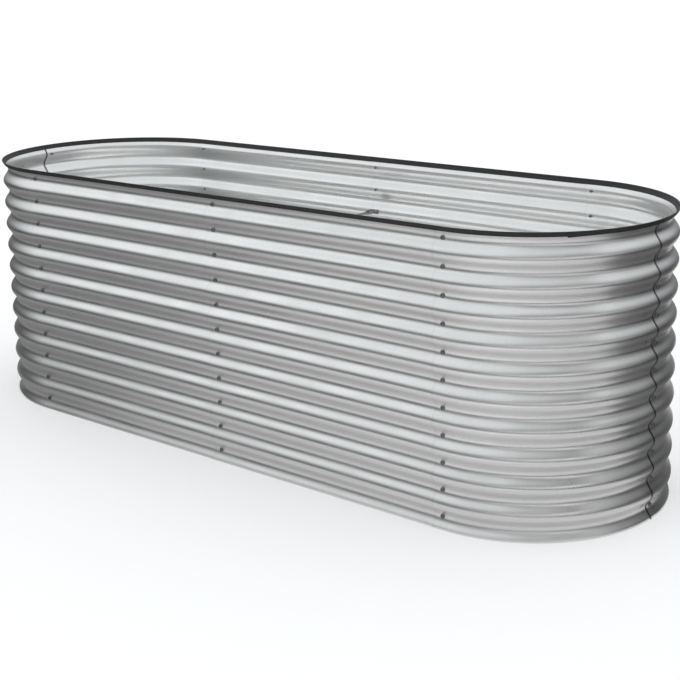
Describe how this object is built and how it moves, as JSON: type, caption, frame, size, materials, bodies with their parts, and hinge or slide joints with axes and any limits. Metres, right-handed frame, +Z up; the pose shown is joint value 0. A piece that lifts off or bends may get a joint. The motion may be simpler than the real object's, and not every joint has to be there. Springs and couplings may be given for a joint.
{
  "type": "raised garden bed",
  "caption": "Long, round-ended, open-bottomed raised garden bed of bolted corrugated steel panels, with a black rubber edge trim on the rim and a brace across the middle.",
  "frame": {"origin": "centre of the bed on the ground", "axes": "+Z up, +X along the length, -Y towards the front"},
  "size_m": [2.4358, 0.8214, 0.8126],
  "materials": {
    "coated_sheet": "bright zinc-aluminium coating, smooth, softly reflective",
    "bolts": "dull zinc plating",
    "nuts": "dull zinc plating",
    "edge_trim": "black extruded rubber, satin",
    "brace": "zinc-plated steel rod",
    "wing_nuts": "zinc-plated, cast"
  },
  "bodies": {
    "root": {"side_panel_front_left": "coated_sheet", "side_panel_front_right": "coated_sheet", "side_panel_back_right": "coated_sheet", "side_panel_back_left": "coated_sheet", "corner_panel_front_right": "coated_sheet", "corner_panel_back_right": "coated_sheet", "corner_panel_back_left": "coated_sheet", "corner_panel_front_left": "coated_sheet", "bolts_front_left": "bolts", "nuts_front_left": "nuts", "bolts_front_middle": "bolts", "nuts_front_middle": "nuts", "bolts_front_right": "bolts", "nuts_front_right": "nuts", "bolts_right_end": "bolts", "nuts_right_end": "nuts", "bolts_back_right": "bolts", "nuts_back_right": "nuts", "bolts_back_middle": "bolts", "nuts_back_middle": "nuts", "bolts_back_left": "bolts", "nuts_back_left": "nuts", "bolts_left_end": "bolts", "nuts_left_end": "nuts", "rim_trim": "edge_trim", "brace": "brace", "brace_wing_nuts": "wing_nuts"}
  },
  "joints": []
}
